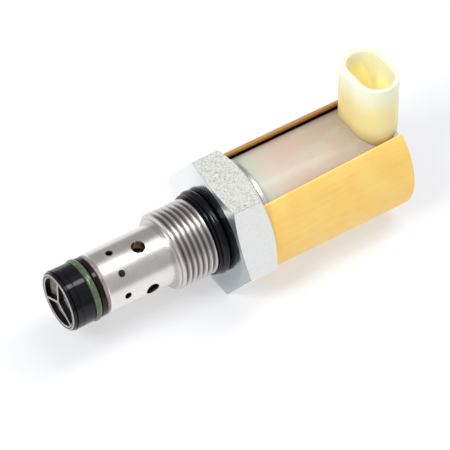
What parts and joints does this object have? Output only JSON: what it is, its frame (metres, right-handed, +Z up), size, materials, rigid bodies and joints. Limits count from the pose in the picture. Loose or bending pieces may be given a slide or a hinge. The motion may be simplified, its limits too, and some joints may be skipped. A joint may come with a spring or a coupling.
{
  "type": "solenoid cartridge valve",
  "caption": "Screw-in hydraulic cartridge valve: ported sleeve with screened nose, threaded shank and hexagon, and a clamped solenoid coil with a moulded plug connector.",
  "frame": {"origin": "on the valve's axis, in the plane of the hexagon's seating face", "axes": "+X along the axis from the nose to the coil, +Z up with a flat of the hexagon facing down"},
  "size_m": [0.097, 0.037, 0.0457],
  "materials": {
    "turned_steel": "satin",
    "sleeve_steel": "satin",
    "soft_iron": "satin",
    "black_nose": "gloss",
    "bright_steel": "bright",
    "screen_mesh": "satin",
    "green_rubber": "satin",
    "tan_backup": "matte",
    "black_rubber": "gloss",
    "black_backup": "satin",
    "spring_steel": "satin",
    "shim_brass": "satin",
    "bobbin_plastic": "matte",
    "copper_wire": "enamelled",
    "cover_plastic": "satin",
    "gold_plating": "satin, yellow plated",
    "cream_nylon": "satin",
    "contact_metal": "satin"
  },
  "bodies": {
    "valve": {"valve_body": "turned_steel", "valve_sleeve": "sleeve_steel", "nose_cap": "black_nose", "nose_guard": "bright_steel", "inlet_screen": "screen_mesh", "nose_oring": "green_rubber", "nose_backup_ring": "tan_backup", "body_oring": "black_rubber", "body_backup_ring": "black_backup", "spool_stop_ring": "spring_steel", "spool_spring": "spring_steel", "poppet_seat": "sleeve_steel", "core_tube": "turned_steel", "pole_piece": "soft_iron", "pole_shim": "shim_brass", "armature_spring": "spring_steel", "tube_plug": "turned_steel", "retaining_nut": "turned_steel", "front_coil_seal": "black_rubber", "rear_coil_seal": "black_rubber"},
    "spool": {"spool": "sleeve_steel", "edge_filter": "screen_mesh"},
    "poppet": {"poppet": "sleeve_steel"},
    "armature": {"armature": "soft_iron", "push_pin": "sleeve_steel"},
    "coil": {"front_flux_washer": "bright_steel", "bobbin": "bobbin_plastic", "winding": "copper_wire", "coil_cover": "cover_plastic", "rear_flux_plate": "bright_steel", "yoke_shell": "gold_plating", "connector_housing": "cream_nylon", "terminal_pin_left": "contact_metal", "terminal_pin_right": "contact_metal"}
  },
  "joints": [
    {"name": "spool_slide", "type": "slide", "parent": "valve", "child": "spool", "axis": [1, 0, 0], "range_m": [0, 0.003], "stiffness_N_per_m": 2000, "springref_m": -0.002, "deforming": ["spool_spring"]},
    {"name": "armature_stroke", "type": "slide", "parent": "valve", "child": "armature", "axis": [-1, 0, 0], "range_m": [0, 0.0008], "stiffness_N_per_m": 1500, "springref_m": -0.001, "deforming": ["armature_spring"]},
    {"name": "poppet_lift", "type": "slide", "parent": "valve", "child": "poppet", "axis": [-1, 0, 0], "range_m": [0, 0.0008]},
    {"name": "coil_swivel", "type": "hinge", "parent": "valve", "child": "coil", "pos_m": [0.031, 0, 0], "axis": [1, 0, 0], "continuous": true}
  ],
  "couplings": [
    {"joint": "poppet_lift", "follows": "armature_stroke", "ratio": 1}
  ]
}
